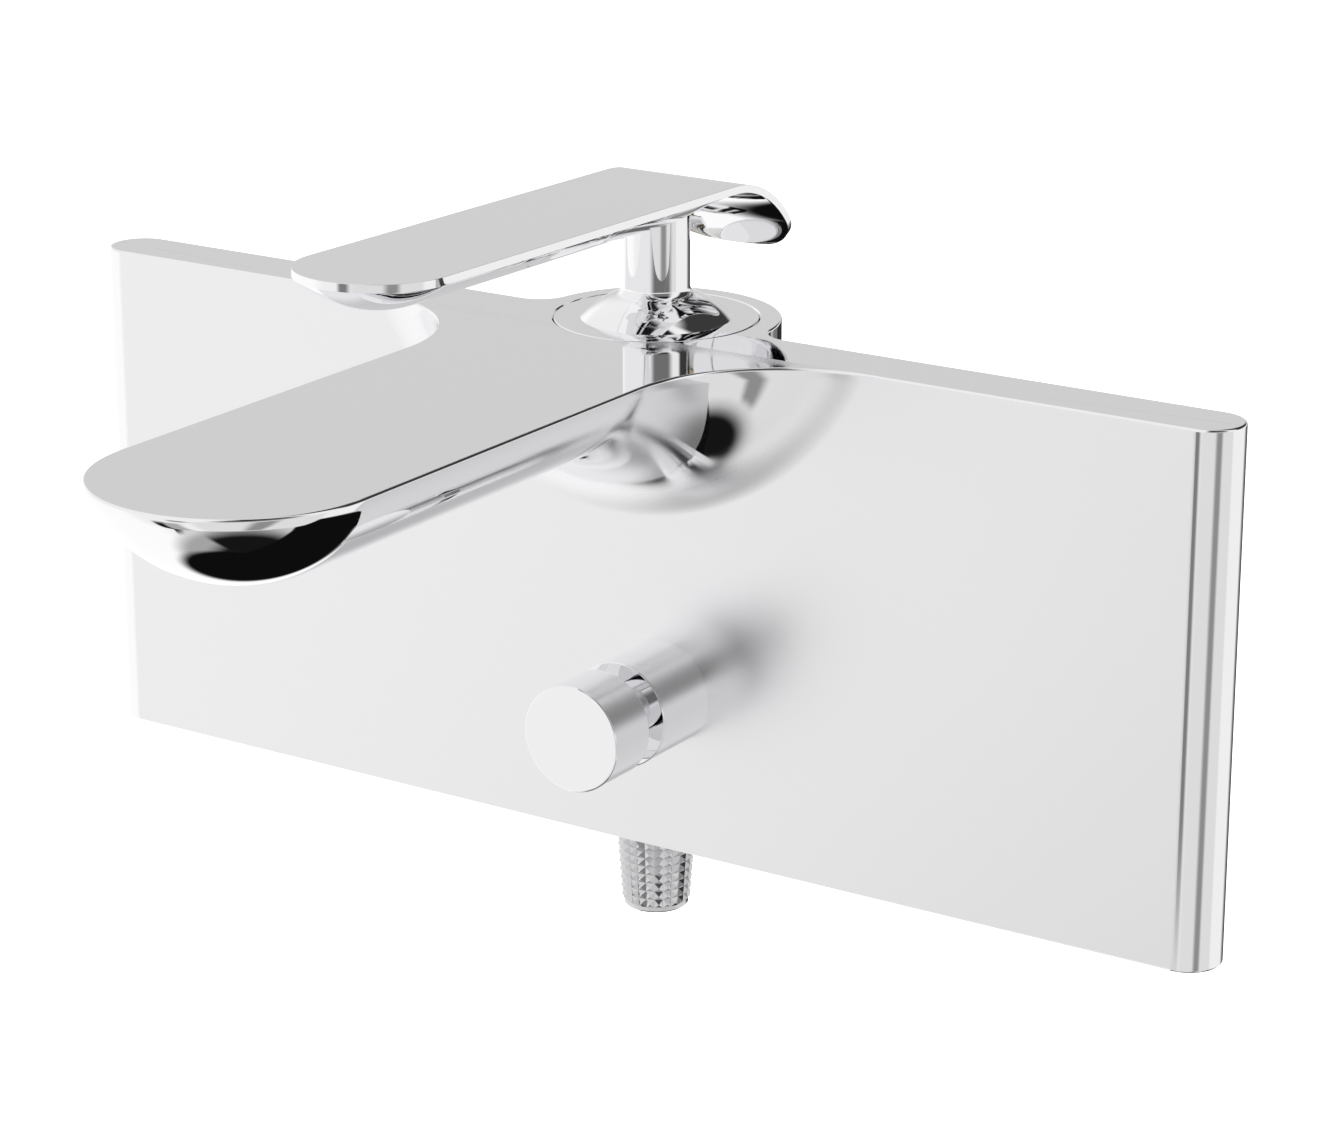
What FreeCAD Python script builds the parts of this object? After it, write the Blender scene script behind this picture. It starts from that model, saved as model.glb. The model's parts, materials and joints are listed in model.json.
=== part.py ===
import FreeCAD, Part
import math
import os

# Wall mounted bath mixer: a broad cast plate with a forward spout, a single lever on top,
# a pull diverter in front and a shower outlet underneath. Millimetres, +Z up.
# The wall is the plane Y = 0 and the mixer stands in front of it, towards -Y.
# The origin lies on the wall, midway between the two supply connections.

Vec = FreeCAD.Vector
X = Vec(1, 0, 0)
Y = Vec(0, 1, 0)
Z = Vec(0, 0, 1)

# ---- driving dimensions ----
PLATE_WIDTH = 300.0
PLATE_HEIGHT = 120.0
PLATE_DEPTH = 15.6
WALL_GAP = 55.0            # from the wall to the back of the plate
SUPPLY_SPACING = 150.0     # between the hot and the cold supply
WALL = 2.6                 # wall of the casting
FIT = 0.05                 # radial clearance of a running fit
GAP = 0.3                  # clearance between separate bodies

# ---- reference planes ----
FRONT = -(WALL_GAP + PLATE_DEPTH)
BACK = -WALL_GAP
TOP = PLATE_HEIGHT / 2
BOTTOM = -PLATE_HEIGHT / 2
HALF = PLATE_WIDTH / 2
INLET_X = SUPPLY_SPACING / 2

# ---- round boss that holds the cartridge, behind the plate ----
BOSS_R = 28.4
BOSS_Y = FRONT + 17.8
BOSS_BLEND = 8.0

# ---- spout ----
SPOUT_HALF = 30.8
SPOUT_NOSE_Y = FRONT - 131.0
SPOUT_RIM = 1.6
SPOUT_DEPTH = 21.6
SPOUT_BLEND = 35.0
AERATOR_Y = SPOUT_NOSE_Y
AERATOR_R = 12.0

# ---- cartridge and lever, heights from the top of the plate ----
PIVOT_Z = TOP - 17.1
DOME_R = 24.2
DOME_WALL = 2.0
DOME_ANGLE = 56.0          # from the pole to the cut edge
DOME_LEAN = 8.0            # the cut leans so that the raised dome still fills its hole
RING_R = 23.2
RING_HOLE_R = 16.8
RING_DEPTH = 5.0
POST_R = 7.65
CARTRIDGE_R = 14.0
CARTRIDGE_FLOOR = TOP - 41.7
BALL_ARM = 9.8             # from the pivot pin down to the ball that drives the disc
NUT_R = 17.0
NUT_TOP = TOP - 10.2
NUT_BOTTOM = TOP - 17.4

LEVER_HALF = 17.2
LEVER_TOP = TOP + 31.07    # height of the flat top above the front face of the plate
LEVER_RISE = math.degrees(math.atan(0.0172))
LEVER_NOSE = 85.7          # centre of the round nose in front of the front face
LEVER_RIM = 1.8
LEVER_DEPTH = 8.6
LEVER_SHEET = 2.2
TAIL_START = 24.0          # behind the front face
TAIL_R = 30.6
TAIL_ANGLE = 66.0
TAIL_CORNER = 7.0

# ---- diverter ----
KNOB_X = 13.3
KNOB_Z = TOP - 82.1
KNOB_R = 12.24
KNOB_END = 36.9
KNOB_START = 23.9
COLLAR_LENGTH = 18.0
DIVERTER_TRAVEL = 8.0
NECK_R = 6.0
SPINDLE_R = 3.0
CHAMBER_R = 8.0
BUSH_REAR = 12.0
SEAT_FRONT = 26.1

# ---- shower outlet ----
OUTLET_TOP_R = 9.8
OUTLET_END_R = 8.1
OUTLET_LENGTH = 22.4
OUTLET_BORE_R = 6.6
OUTLET_THREAD_R = 8.6
OUTLET_THREAD = 12.0
CHECK_TRAVEL = 2.5

# ---- wall unions ----
UNION_R = 10.48            # G 1/2 thread, outside
UNION_IN_WALL = 14.0
CONNECTOR_R = 13.2         # G 3/4 thread, outside
WATERWAY_R = 5.5
CONNECTOR_STUB_R = 9.95
CONNECTOR_STUB = 12.0
CONNECTOR_LENGTH = 31.0
CONNECTOR_START = FRONT + PLATE_DEPTH / 2 - 4.0
CONNECTOR_END = CONNECTOR_START + CONNECTOR_LENGTH
PORT_R = 2.6               # ports under the cartridge
PORT_X = 6.5
PORT_Y = -6.5
MIXED_X = 5.0
MIXED_Y = 5.0
INLET_BOSS_R = 13.0
INLET_BORE_R = 3.6
CHANNEL_R = 2.4            # riser from the diverter to the spout
CROSS_R = 2.6              # level lengths of the riser
RISER_X = 20.6
RISER_DEPTH = 19.5
RISER_LOW = -10.0
RISER_TOP = TOP - 15.0
SIDE_DEPTH = 6.5           # side port of the diverter gland
SHOWER_X = 7.0             # passage from the diverter down to the shower outlet
SHOWER_DEPTH = 32.4
WATERWAY_END = 9.0         # the spout is solid from here back to the cartridge
ROSETTE_R = 32.0
ROSETTE_DEPTH = 16.0


def cylinder(radius, start, length, axis=Z):
    return Part.makeCylinder(radius, length, start, axis)


def tube(outer, inner, start, length, axis=Z):
    return cylinder(outer, start, length, axis).cut(cylinder(inner, start, length, axis))


def box(low, high):
    size = high - low
    return Part.makeBox(size.x, size.y, size.z, low)


def turned(points, centre, axis=Z):
    """A solid of revolution from (radius, height) points, about an axis through centre."""
    wire = Part.makePolygon([Vec(r, 0, h) for r, h in points + points[:1]])
    solid = Part.Face(wire).revolve(Vec(0, 0, 0), Z, 360)
    solid.Placement = FreeCAD.Placement(centre, FreeCAD.Rotation(Z, axis))
    return solid


def hexagon(across_flats, start, length, axis=Y):
    radius = across_flats / math.sqrt(3)
    corners = [Vec(radius * math.cos(math.radians(60 * k)), radius * math.sin(math.radians(60 * k)), 0)
               for k in range(7)]
    prism = Part.Face(Part.makePolygon(corners)).extrude(Vec(0, 0, length))
    prism.Placement = FreeCAD.Placement(start, FreeCAD.Rotation(Z, axis))
    return prism


def coil(radius, wire_r, start, length, turns, axis=Z):
    """A compression spring standing on start and reaching length along axis."""
    rise = length - 2 * wire_r
    helix = Part.makeHelix(rise / turns, rise, radius)
    section = Part.Wire(Part.makeCircle(wire_r, Vec(radius, 0, 0), Y))
    spring = Part.Wire(helix).makePipeShell([section], True, True)
    spring.Placement = FreeCAD.Placement(start + axis * wire_r, FreeCAD.Rotation(Z, axis))
    return spring


def at(x, depth, z):
    """A point given by its depth behind the front face of the plate."""
    return Vec(x, FRONT + depth, z)


def boss_point(dx, dy, z):
    return Vec(dx, BOSS_Y + dy, z)


# ---------------------------------------------------------------- body casting

def stadium(half, y_front, y_back, z_low, z_high):
    radius = (y_back - y_front) / 2
    middle = (y_back + y_front) / 2
    block = box(Vec(-half + radius, y_front, z_low), Vec(half - radius, y_back, z_high))
    for side in (-1, 1):
        end = cylinder(radius, Vec(side * (half - radius), middle, z_low), z_high - z_low)
        block = block.fuse(end)
    return block.removeSplitter()


def hull_section(y, half, depth, rim, z_top):
    """Flat top, short upright rim and a round underside, as a closed wire across the spout."""
    left = Vec(-half, y, z_top)
    right = Vec(half, y, z_top)
    low_left = Vec(-half, y, z_top - rim)
    low_right = Vec(half, y, z_top - rim)
    keel = Vec(0, y, z_top - depth)
    under = Part.Arc(low_left, keel, low_right).toShape()
    return Part.Wire([Part.makeLine(left, low_left), under,
                      Part.makeLine(low_right, right), Part.makeLine(right, left)])


def hull_nose(centre, half, depth, rim):
    """The round front end: the same section turned about the upright through its centre."""
    rim_point = Vec(half, 0, -rim)
    drop = depth - rim
    radius = (half * half + drop * drop) / (2 * drop)
    angle = math.asin(half / radius) / 2
    middle = Vec(radius * math.sin(angle), 0, -depth + radius * (1 - math.cos(angle)))
    keel = Vec(0, 0, -depth)
    outline = Part.Wire([Part.makeLine(Vec(0, 0, 0), Vec(half, 0, 0)),
                         Part.makeLine(Vec(half, 0, 0), rim_point),
                         Part.Arc(rim_point, middle, keel).toShape(),
                         Part.makeLine(keel, Vec(0, 0, 0))])
    nose = Part.Face(outline).revolve(Vec(0, 0, 0), Z, 360)
    nose.translate(centre)
    return nose


def spout_solid(inset, z_top):
    """The spout's outer form, or its waterway when inset by the wall."""
    half = SPOUT_HALF - inset
    depth = SPOUT_DEPTH - 2 * inset
    nose = hull_nose(Vec(0, SPOUT_NOSE_Y, z_top), half, depth, SPOUT_RIM)
    start = FRONT - SPOUT_BLEND
    straight = Part.makeLoft([hull_section(SPOUT_NOSE_Y, half, depth, SPOUT_RIM, z_top),
                              hull_section(start, half, depth, SPOUT_RIM, z_top)], True, True)
    flare = []
    for angle in (0, 12, 24, 36, 48, 60, 72, 82, 88):
        bend = math.radians(angle)
        out = SPOUT_BLEND * (1 - math.cos(bend))
        y = start + SPOUT_BLEND * math.sin(bend)
        flare.append(hull_section(y, half + out, depth + 0.6 * out, SPOUT_RIM, z_top))
    root = Part.makeLoft(flare, True, False)
    inside = hull_section(FRONT + 2.0, half + out, depth + 0.6 * out, SPOUT_RIM, z_top)
    foot = Part.makeLoft([flare[-1], inside], True, True)
    return nose.fuse([straight, root, foot])


def casting_outside():
    plate = stadium(HALF, FRONT, BACK, BOTTOM, TOP)
    boss = cylinder(BOSS_R, Vec(0, BOSS_Y, BOTTOM), PLATE_HEIGHT)
    boss = boss.common(box(Vec(-BOSS_R, FRONT + 1.0, BOTTOM), Vec(BOSS_R, 0, TOP)))
    shell = plate.fuse(boss).removeSplitter()
    corners = [edge for edge in shell.Edges
               if abs(edge.Length - PLATE_HEIGHT) < 0.01
               and abs(edge.CenterOfMass.y - BACK) < 0.01
               and abs(edge.CenterOfMass.x) < BOSS_R]
    shell = shell.makeFillet(BOSS_BLEND, corners)
    return shell.fuse(spout_solid(0, TOP))


def casting_pockets():
    """Hollows of the plate, open at the back and closed by the two covers."""
    pockets = []
    inner = BOSS_R + BOSS_BLEND
    for side in (-1, 1):
        low_x = min(side * inner, side * (HALF - 6.0))
        high_x = max(side * inner, side * (HALF - 6.0))
        pocket = box(Vec(low_x, FRONT + WALL, BOTTOM + WALL), Vec(high_x, BACK, TOP - WALL))
        rib = box(Vec(low_x, FRONT + WALL, -8.0), Vec(high_x, BACK - 2.0, 8.0))
        inlet = cylinder(INLET_BOSS_R, at(side * INLET_X, WALL, 0), PLATE_DEPTH - WALL, Y)
        pockets.append(pocket.cut([rib, inlet]))
    return pockets


def cartridge_bores():
    bores = [cylinder(RING_R + 0.1, boss_point(0, 0, NUT_TOP), TOP - NUT_TOP),
             cylinder(NUT_R + FIT, boss_point(0, 0, NUT_BOTTOM), NUT_TOP - NUT_BOTTOM),
             cylinder(CARTRIDGE_R + FIT, boss_point(0, 0, CARTRIDGE_FLOOR), NUT_BOTTOM - CARTRIDGE_FLOOR),
             cylinder(PORT_R, boss_point(MIXED_X, MIXED_Y, KNOB_Z), CARTRIDGE_FLOOR - KNOB_Z)]
    return bores


def supply_bores(side):
    """From the inlet connector along the plate to the port under the cartridge."""
    middle = PLATE_DEPTH / 2
    along = cylinder(INLET_BORE_R, at(side * INLET_X, middle, 0), INLET_X - PORT_X, X * -side)
    up = cylinder(PORT_R, boss_point(side * PORT_X, PORT_Y, 0), CARTRIDGE_FLOOR)
    socket = cylinder(CONNECTOR_STUB_R + FIT, Vec(side * INLET_X, CONNECTOR_START, 0),
                      CONNECTOR_STUB, Y)
    return [along, up, socket]


def diverter_bores():
    """Diverter chamber with its gland thread, the riser to the spout and the way down."""
    side_length = RISER_X - KNOB_X
    return [cylinder(CHAMBER_R, at(KNOB_X, BUSH_REAR, KNOB_Z), 23.0, Y),
            cylinder(CHAMBER_R + 0.5, at(KNOB_X, 0, KNOB_Z), BUSH_REAR, Y),
            cylinder(CROSS_R, at(KNOB_X, SIDE_DEPTH, KNOB_Z), side_length + 1.0, X),
            cylinder(CHANNEL_R, at(RISER_X, SIDE_DEPTH, KNOB_Z), RISER_LOW - KNOB_Z),
            cylinder(CROSS_R, at(RISER_X, SIDE_DEPTH, RISER_LOW), RISER_DEPTH - SIDE_DEPTH, Y),
            cylinder(CHANNEL_R, at(RISER_X, RISER_DEPTH, RISER_LOW), RISER_TOP - RISER_LOW),
            cylinder(CROSS_R, at(RISER_X, -WATERWAY_END - 1.5, RISER_TOP),
                     RISER_DEPTH + WATERWAY_END + 1.5, Y),
            cylinder(3.2, at(SHOWER_X, SHOWER_DEPTH, OUTLET_ROOM), KNOB_Z - OUTLET_ROOM)]


OUTLET_ROOM = BOTTOM + OUTLET_THREAD + 2.0


def outlet_bores():
    return [cylinder(14.5, boss_point(0, 0, OUTLET_ROOM), 5.0),
            cylinder(OUTLET_THREAD_R + FIT, boss_point(0, 0, BOTTOM), OUTLET_ROOM - BOTTOM)]


def spout_hollow():
    """Waterway of the spout and the round opening that takes the aerator."""
    waterway = spout_solid(WALL, TOP - WALL)
    waterway = waterway.cut(box(Vec(-HALF, FRONT - WATERWAY_END, BOTTOM), Vec(HALF, 0, TOP)))
    keel = TOP - SPOUT_DEPTH
    seat = cylinder(AERATOR_R + WALL, Vec(0, AERATOR_Y, keel), SPOUT_DEPTH - 10.0)
    waterway = waterway.cut(seat)
    opening = cylinder(AERATOR_R + 0.1, Vec(0, AERATOR_Y, keel - 1.0), SPOUT_DEPTH - 8.0)
    return waterway.fuse(opening)


def body_casting():
    bores = cartridge_bores() + supply_bores(-1) + supply_bores(1) + diverter_bores() + outlet_bores()
    body = casting_outside().cut(casting_pockets() + bores + [spout_hollow()])
    screw_holes = [cylinder(1.7, start, 5.5, Y) for start in cover_screw_places(-5.5)]
    for bosses in cover_screw_places(-(PLATE_DEPTH - WALL)):
        body = body.fuse(cylinder(4.0, bosses, PLATE_DEPTH - WALL - 1.6, Y))
    return body.cut(screw_holes)


# ---------------------------------------------------------------- back covers

COVER_THICK = 1.5
COVER_IN = BOSS_R + BOSS_BLEND + 0.2
COVER_OUT = HALF - 6.2


def cover_screw_places(offset):
    """Four screw axes behind each half of the plate, starting offset from its back."""
    return [Vec(side * x, BACK + offset, z)
            for side in (-1, 1) for x in (COVER_IN + 8.0, COVER_OUT - 8.0) for z in (-48.0, 48.0)]


def back_cover(side):
    low_x = min(side * COVER_IN, side * COVER_OUT)
    high_x = max(side * COVER_IN, side * COVER_OUT)
    margin = WALL + 0.2
    sheet = box(Vec(low_x, BACK - COVER_THICK, BOTTOM + margin), Vec(high_x, BACK, TOP - margin))
    hole = cylinder(INLET_BOSS_R + 0.5, Vec(side * INLET_X, BACK - 5, 0), 10, Y)
    screws = [cylinder(1.8, place, 10, Y) for place in cover_screw_places(-5.0) if place.x * side > 0]
    return sheet.cut([hole] + screws)


def cover_screws():
    screws = []
    for place in cover_screw_places(0):
        head = cylinder(2.8, place, 1.4, Y)
        slot = box(place + Vec(-2.8, 0.8, -0.4), place + Vec(2.8, 1.4, 0.4))
        shank = cylinder(1.65, place - Y * 5.3, 5.3, Y)
        screws.append(head.cut(slot).fuse(shank))
    return Part.makeCompound(screws)


# ---------------------------------------------------------------- wall unions

def inlet_connector(side):
    """Threaded stub in the back of the casting, with a collar that holds the union nut."""
    start = Vec(side * INLET_X, CONNECTOR_START, 0)
    stub = cylinder(CONNECTOR_STUB_R, start, CONNECTOR_STUB, Y)
    middle = cylinder(11.0, start + Y * CONNECTOR_STUB, 16.0, Y)
    collar = cylinder(12.6, start + Y * (CONNECTOR_LENGTH - 3.0), 3.0, Y)
    port_start = at(side * INLET_X, PLATE_DEPTH / 2, 0)
    side_port = cylinder(INLET_BORE_R, port_start, CONNECTOR_STUB_R, X * -side)
    bore = cylinder(WATERWAY_R, start, CONNECTOR_LENGTH, Y)
    return stub.fuse([middle, collar]).cut([bore, side_port])


def union_nut(side):
    base = Vec(side * INLET_X, 0, 0)
    start = CONNECTOR_END - 5.0
    nut = hexagon(30.0, base + Y * start, 16.0)
    throat = cylinder(11.05, base + Y * start, 2.0, Y)
    thread = cylinder(CONNECTOR_R + FIT, base + Y * (start + 2.0), 14.0, Y)
    chamfer = turned([(0, 0), (15.2, 0), (18.6, 2.6), (18.6, 13.4), (15.2, 16.0), (0, 16.0)],
                     base + Y * start, Y)
    return nut.common(chamfer).cut([throat, thread])


def filter_washer(side):
    base = Vec(side * INLET_X, CONNECTOR_END, 0)
    rim = tube(12.4, 6.0, base, 2.0, Y)
    mesh = cylinder(6.0, base + Y * 0.8, 0.4, Y)
    return rim.fuse(mesh)


def s_union(side):
    """Connector from the G 1/2 wall fitting to the G 3/4 union nut."""
    base = Vec(side * INLET_X, 0, 0)
    start = CONNECTOR_END + 2.0
    wide = cylinder(CONNECTOR_R, base + Y * start, 10.0, Y)
    barrel = cylinder(12.0, base + Y * (start + 10.0), -start - 10.0, Y)
    hexagonal = hexagon(24.0, base + Y * -20.0, 6.0)
    spigot = cylinder(UNION_R, base, UNION_IN_WALL, Y)
    body = wide.fuse([barrel, hexagonal, spigot])
    return body.cut(cylinder(WATERWAY_R, base + Y * start, UNION_IN_WALL - start, Y))


def wall_rosette(side):
    base = Vec(side * INLET_X, 0, 0)
    outer = [(14.2, -ROSETTE_DEPTH), (22.0, -ROSETTE_DEPTH), (28.0, -13.0), (ROSETTE_R, -5.0), (ROSETTE_R, 0)]
    inner = [(ROSETTE_R - 1.2, 0), (ROSETTE_R - 1.2, -4.6), (27.2, -12.0), (21.6, -14.8), (14.2, -14.8)]
    return turned(outer + inner, base, Y)


# ---------------------------------------------------------------- aerator

AERATOR_LOW = TOP - SPOUT_DEPTH + 3.0


def aerator_housing():
    low = AERATOR_LOW
    body = tube(AERATOR_R, 10.4, Vec(0, AERATOR_Y, low), 8.0)
    lip = tube(10.4, 9.4, Vec(0, AERATOR_Y, low), 1.2)
    return body.fuse(lip)


def aerator_insert():
    low = AERATOR_LOW + 1.3
    body = cylinder(10.3, Vec(0, AERATOR_Y, low), 6.4)
    cells = []
    pitch = 3.4
    for row in (-2, -1, 0, 1, 2):
        for column in (-2, -1, 0, 1, 2):
            if math.hypot(row, column) <= 2.3:
                corner = Vec(column * pitch - 1.3, AERATOR_Y + row * pitch - 1.3, low)
                cells.append(box(corner, corner + Vec(2.6, 2.6, 5.0)))
    return body.cut(cells)


def aerator_seal():
    return tube(11.6, 8.6, Vec(0, AERATOR_Y, AERATOR_LOW + 8.1), 1.4)


# ---------------------------------------------------------------- cartridge

PORTS = [(-PORT_X, PORT_Y), (PORT_X, PORT_Y), (MIXED_X, MIXED_Y)]
BASE_TOP = CARTRIDGE_FLOOR + 5.0
FIXED_TOP = BASE_TOP + 3.5
MOVING_TOP = FIXED_TOP + 3.0
CARRIER_TOP = MOVING_TOP + 5.0
SLEEVE_LOW = CARRIER_TOP + 0.4
SLEEVE_TOP = TOP - 12.9
FLANGE_TOP = NUT_BOTTOM - 2.0
HOUSING_TOP = NUT_TOP - 0.1
BALL_Z = PIVOT_Z - BALL_ARM
SLEEVE_R = 10.2
FLANGE_R = 12.2
DISC_R = 9.0
STEM_TOP = TOP + 14.0
STEM = 3.5                 # half the width of the square stem


def ports(radius, z, height):
    return [cylinder(radius, boss_point(x, y, z), height) for x, y in PORTS]


def cartridge_base():
    disc = cylinder(CARTRIDGE_R, boss_point(0, 0, CARTRIDGE_FLOOR), BASE_TOP - CARTRIDGE_FLOOR)
    return disc.cut(ports(PORT_R, CARTRIDGE_FLOOR, 6.0) + ports(4.0, CARTRIDGE_FLOOR, 1.4))


def cartridge_seals():
    return Part.makeCompound([tube(3.95, 2.7, boss_point(x, y, CARTRIDGE_FLOOR), 1.35) for x, y in PORTS])


def fixed_disc():
    disc = cylinder(FLANGE_R, boss_point(0, 0, BASE_TOP), FIXED_TOP - BASE_TOP)
    return disc.cut(ports(2.4, BASE_TOP, 4.0))


def moving_disc():
    disc = cylinder(DISC_R, boss_point(0, 0, FIXED_TOP), MOVING_TOP - FIXED_TOP)
    channel = box(boss_point(-3.0, -4.0, FIXED_TOP), boss_point(3.0, 5.0, FIXED_TOP + 1.6))
    return disc.cut(channel)


def disc_carrier():
    body = cylinder(DISC_R, boss_point(0, 0, MOVING_TOP), CARRIER_TOP - MOVING_TOP)
    socket = cylinder(2.9, boss_point(0, 0, MOVING_TOP + 0.6), 5.0)
    return body.cut(socket)


def cartridge_housing():
    low = BASE_TOP
    outer = cylinder(CARTRIDGE_R, boss_point(0, 0, low), NUT_BOTTOM - low)
    neck = cylinder(12.2, boss_point(0, 0, NUT_BOTTOM), HOUSING_TOP - NUT_BOTTOM)
    disc_room = cylinder(FLANGE_R + 0.3, boss_point(0, 0, low), FLANGE_TOP + 0.2 - low)
    neck_room = cylinder(SLEEVE_R + FIT, boss_point(0, 0, low), HOUSING_TOP - low)
    return outer.fuse(neck).cut([disc_room, neck_room])


def stem_slot(z_low, z_high):
    return box(boss_point(-4.0, -7.0, z_low), boss_point(4.0, 7.0, z_high))


def turn_sleeve():
    """Rotor that carries the pivot pin and turns in the neck of the cartridge."""
    flange = cylinder(FLANGE_R, boss_point(0, 0, SLEEVE_LOW), FLANGE_TOP - SLEEVE_LOW)
    neck = cylinder(SLEEVE_R, boss_point(0, 0, SLEEVE_LOW), SLEEVE_TOP - SLEEVE_LOW)
    pin = cylinder(1.5, boss_point(-SLEEVE_R, 0, PIVOT_Z), 2 * SLEEVE_R, X)
    return flange.fuse(neck).cut([stem_slot(SLEEVE_LOW, SLEEVE_TOP), pin])


def pivot_pin():
    return cylinder(1.5, boss_point(0.2 - SLEEVE_R, 0, PIVOT_Z), 2 * SLEEVE_R - 0.4, X)


def cartridge_stem():
    shaft = box(boss_point(-STEM, -STEM, PIVOT_Z - 4.5), boss_point(STEM, STEM, STEM_TOP))
    rod = cylinder(1.8, boss_point(0, 0, BALL_Z), PIVOT_Z - 4.5 - BALL_Z)
    ball = Part.makeSphere(2.6, boss_point(0, 0, BALL_Z))
    hole = cylinder(1.5 + FIT, boss_point(-5, 0, PIVOT_Z), 10, X)
    return shaft.fuse([rod, ball]).cut(hole)


def clamp_nut():
    nut = tube(NUT_R, 12.3, boss_point(0, 0, NUT_BOTTOM), NUT_TOP - NUT_BOTTOM)
    slots = []
    for k in range(4):
        slot = box(boss_point(12.0, -2.0, NUT_TOP - 2.4), boss_point(NUT_R + 1, 2.0, NUT_TOP))
        slot.rotate(boss_point(0, 0, 0), Z, 45 + 90 * k)
        slots.append(slot)
    return nut.cut(slots)


# ---------------------------------------------------------------- cover ring and dome

def cover_ring():
    """Flush ring whose hole fits round the dome as a ball seat."""
    blank = tube(RING_R, RING_HOLE_R - 2.0, boss_point(0, 0, TOP - RING_DEPTH), RING_DEPTH)
    hole = cylinder(RING_HOLE_R, boss_point(0, 0, TOP - RING_DEPTH), RING_DEPTH)
    seat = Part.makeSphere(DOME_R + GAP, boss_point(0, 0, PIVOT_Z))
    return blank.cut([hole, seat])


def slide_ring():
    """Plastic ring under the cover ring that steadies the edge of the dome."""
    low = TOP - RING_DEPTH - 2.2
    blank = tube(RING_R, 20.0, boss_point(0, 0, low), 2.1)
    return blank.cut(Part.makeSphere(DOME_R + GAP, boss_point(0, 0, PIVOT_Z)))


def stem_socket(z_low, z_high):
    half = STEM + FIT
    return box(boss_point(-half, -half, z_low), boss_point(half, half, z_high))


def dome_cap():
    centre = boss_point(0, 0, PIVOT_Z)
    ball = Part.makeSphere(DOME_R, centre).cut(Part.makeSphere(DOME_R - DOME_WALL, centre))
    cut_height = DOME_R * math.cos(math.radians(DOME_ANGLE))
    slab = box(Vec(-50, -50, cut_height), Vec(50, 50, 50))
    slab.rotate(Vec(0, 0, 0), X, DOME_LEAN)
    slab.translate(centre)
    cap = ball.common(slab)
    flat = PIVOT_Z + math.sqrt(DOME_R ** 2 - POST_R ** 2)
    cap = cap.common(box(boss_point(-40, -40, TOP - 40), boss_point(40, 40, flat)))
    hub = cylinder(POST_R, boss_point(0, 0, PIVOT_Z + 15.0), flat - PIVOT_Z - 15.0)
    hub = hub.fuse(cap)
    return hub.cut(stem_socket(TOP - 10.0, TOP + 20.0))


POST_BOTTOM = PIVOT_Z + math.sqrt(DOME_R ** 2 - POST_R ** 2)


POST_TOP = LEVER_TOP - 2.3


def lever_post():
    """Upright post between the dome and the lever blade."""
    post = cylinder(POST_R, boss_point(0, 0, POST_BOTTOM), POST_TOP - POST_BOTTOM)
    socket = stem_socket(POST_BOTTOM, STEM_TOP + 0.2)
    screw = cylinder(2.5, boss_point(0, 0, TOP + 10.0), POST_R + 1, Y)
    return post.cut([socket, screw])


def set_screw():
    screw = cylinder(2.45, boss_point(0, STEM + 0.1, TOP + 10.0), POST_R - STEM - 0.6, Y)
    return screw.cut(hexagon(2.5, boss_point(0, 5.0, TOP + 10.0), 4.0))


def lever_hull():
    """Flat topped blade with a round underside, level, its top at height 0 and y from the front face."""
    nose = hull_nose(Vec(0, -LEVER_NOSE, 0), LEVER_HALF, LEVER_DEPTH, LEVER_RIM)
    stations = [(-LEVER_NOSE, LEVER_DEPTH), (-30.0, LEVER_DEPTH), (8.0, LEVER_DEPTH - 0.2)]
    straight = Part.makeLoft([hull_section(y, LEVER_HALF, depth, LEVER_RIM, 0) for y, depth in stations],
                             True, True)
    fade = []
    for share in (0, 0.25, 0.5, 0.75, 1.0):
        y = 8.0 + share * (TAIL_START - 8.0 + 4.0)
        ease = share * share * (3 - 2 * share)
        depth = LEVER_DEPTH - 0.2 + ease * (LEVER_SHEET + 0.3 - LEVER_DEPTH + 0.2)
        fade.append(hull_section(y, LEVER_HALF, depth, LEVER_RIM, 0))
    return nose.fuse([straight, Part.makeLoft(fade, True, False)])


def lever_tail():
    """Thin sheet that curls down behind the post, with rounded lower corners."""
    outer = TAIL_R
    inner = TAIL_R - LEVER_SHEET
    axis_point = Vec(-LEVER_HALF, TAIL_START, -TAIL_R)
    sheet = cylinder(outer, axis_point, 2 * LEVER_HALF, X)
    sheet = sheet.cut(cylinder(inner, axis_point, 2 * LEVER_HALF, X))
    keep = [Vec(-LEVER_HALF, TAIL_START, -TAIL_R)]
    for angle in (0, TAIL_ANGLE):
        reach = 2 * outer
        keep.append(Vec(-LEVER_HALF, TAIL_START + reach * math.sin(math.radians(angle)),
                        -TAIL_R + reach * math.cos(math.radians(angle))))
    wedge = Part.Face(Part.makePolygon(keep + keep[:1])).extrude(X * (2 * LEVER_HALF))
    sheet = sheet.common(wedge)
    corners = []
    for edge in sheet.Edges:
        middle = edge.CenterOfMass - Vec(0, TAIL_START, -TAIL_R)
        angle = math.degrees(math.atan2(middle.y, middle.z))
        short = abs(edge.Length - LEVER_SHEET) < 0.01
        if short and abs(angle - TAIL_ANGLE) < 0.5:
            corners.append(edge)
    return sheet.makeFillet(TAIL_CORNER, corners)


def lever_blade():
    blade = lever_hull().fuse(lever_tail())
    blade.rotate(Vec(0, 0, 0), X, -LEVER_RISE)
    blade.translate(Vec(0, FRONT, LEVER_TOP))
    seat = cylinder(POST_R, boss_point(0, 0, TOP), POST_TOP - TOP)
    return blade.cut(seat)


# ---------------------------------------------------------------- diverter

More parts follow.
